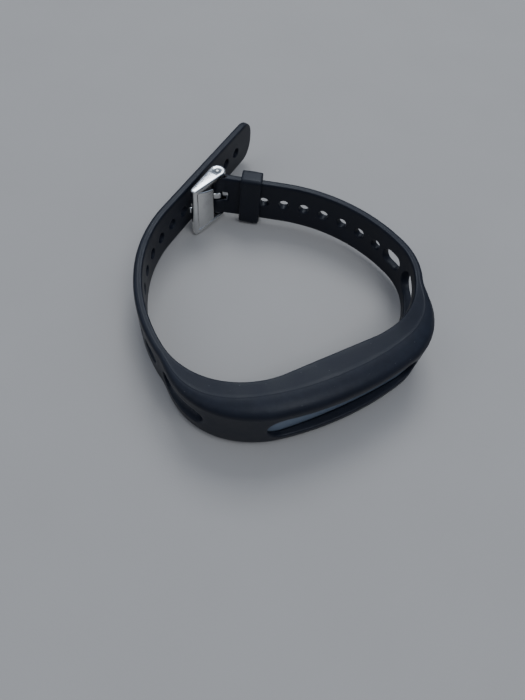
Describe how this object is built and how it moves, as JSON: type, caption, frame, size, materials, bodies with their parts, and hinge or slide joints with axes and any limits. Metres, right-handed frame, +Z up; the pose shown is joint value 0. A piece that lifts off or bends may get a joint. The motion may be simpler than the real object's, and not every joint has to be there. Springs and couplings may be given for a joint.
{
  "type": "fitness tracker band",
  "caption": "Fitness tracker band lying on its edge: moulded strap with graduated slots and a recessed window, removable tracker capsule, loose keeper and pin buckle.",
  "frame": {"origin": "centre of the bottom of the bounding box, on the surface the band lies on", "axes": "+Z up across the strap's width, -Y out of the tracker window, +X along the window"},
  "size_m": [0.074, 0.0978, 0.0172],
  "materials": {
    "silicone": "matt moulded elastomer, midnight blue-black",
    "keeper_silicone": "matt moulded elastomer, midnight blue-black",
    "polished_steel": "polished stainless steel",
    "spring_bar_steel": "drawn stainless tube",
    "spring_steel": "spring wire",
    "case_plastic": "fine-textured dark shell",
    "seal_rubber": "soft seal",
    "lens_gloss": "smooth smoked gloss",
    "adhesive": "thin black adhesive",
    "light_guide_clear": "milky diffuser",
    "led_white": "LED packages",
    "board_green": "solder mask",
    "chip_black": "moulded chip package",
    "copper_flex": "copper strip",
    "battery_foil": "laminated foil pouch",
    "foam_tape": "thin foam tape",
    "nickel": "nickel tabs",
    "motor_steel": "drawn steel can",
    "tungsten": "sintered weight",
    "cradle_rubber": "rubber boot",
    "sensor_gloss": "dark polished window",
    "led_green": "LED packages",
    "photodiode_dark": "silicon sensor",
    "gold_contact": "gold plate"
  },
  "bodies": {
    "band": {"strap": "silicone"},
    "keeper": {"keeper": "keeper_silicone"},
    "buckle": {"buckle_frame": "polished_steel", "spring_bar_tube": "spring_bar_steel", "spring_bar_spring": "spring_steel"},
    "tongue": {"buckle_tongue": "polished_steel"},
    "plunger_upper": {"spring_bar_plunger_upper": "spring_bar_steel"},
    "plunger_lower": {"spring_bar_plunger_lower": "spring_bar_steel"},
    "tracker": {"front_case": "case_plastic", "rear_case": "case_plastic", "case_seal": "seal_rubber", "cover_lens": "lens_gloss", "lens_adhesive": "adhesive", "light_guide": "light_guide_clear", "status_leds": "led_white", "main_board": "board_green", "radio_chip": "chip_black", "motion_sensor": "chip_black", "charger_chip": "chip_black", "antenna": "copper_flex", "battery": "battery_foil", "battery_foam": "foam_tape", "battery_tabs": "nickel", "motor_can": "motor_steel", "motor_cradle": "cradle_rubber", "sensor_window": "sensor_gloss", "sensor_board": "board_green", "sensor_leds": "led_green", "photodiode": "photodiode_dark", "charging_contacts": "gold_contact"},
    "motor_rotor": {"motor_weight": "tungsten"}
  },
  "joints": [
    {"name": "tracker_release", "type": "slide", "parent": "band", "child": "tracker", "axis": [0, 1, 0], "range_m": [0, 0.02]},
    {"name": "keeper_slide", "type": "slide", "parent": "band", "child": "keeper", "axis": [-0.8245, 0.5658, 0], "range_m": [-0.006, 0.002]},
    {"name": "buckle_hinge", "type": "hinge", "parent": "band", "child": "buckle", "pos_m": [0.0004, 0.02748, 0.0086], "axis": [0, 0, 1], "range_deg": [-2, 60]},
    {"name": "tongue_hinge", "type": "hinge", "parent": "buckle", "child": "tongue", "pos_m": [0.0004, 0.02748, 0.0086], "axis": [0, 0, 1], "range_deg": [-2, 0.3]},
    {"name": "plunger_upper_slide", "type": "slide", "parent": "buckle", "child": "plunger_upper", "axis": [0, 0, -1], "range_m": [0, 0.00135], "stiffness_N_per_m": 300, "deforming": ["spring_bar_spring"]},
    {"name": "plunger_lower_slide", "type": "slide", "parent": "buckle", "child": "plunger_lower", "axis": [0, 0, 1], "range_m": [0, 0.00135], "stiffness_N_per_m": 300, "deforming": ["spring_bar_spring"]},
    {"name": "motor_spin", "type": "hinge", "parent": "tracker", "child": "motor_rotor", "pos_m": [-0.01441, -0.0412, 0.0086], "axis": [0, 0, 1], "continuous": true}
  ]
}
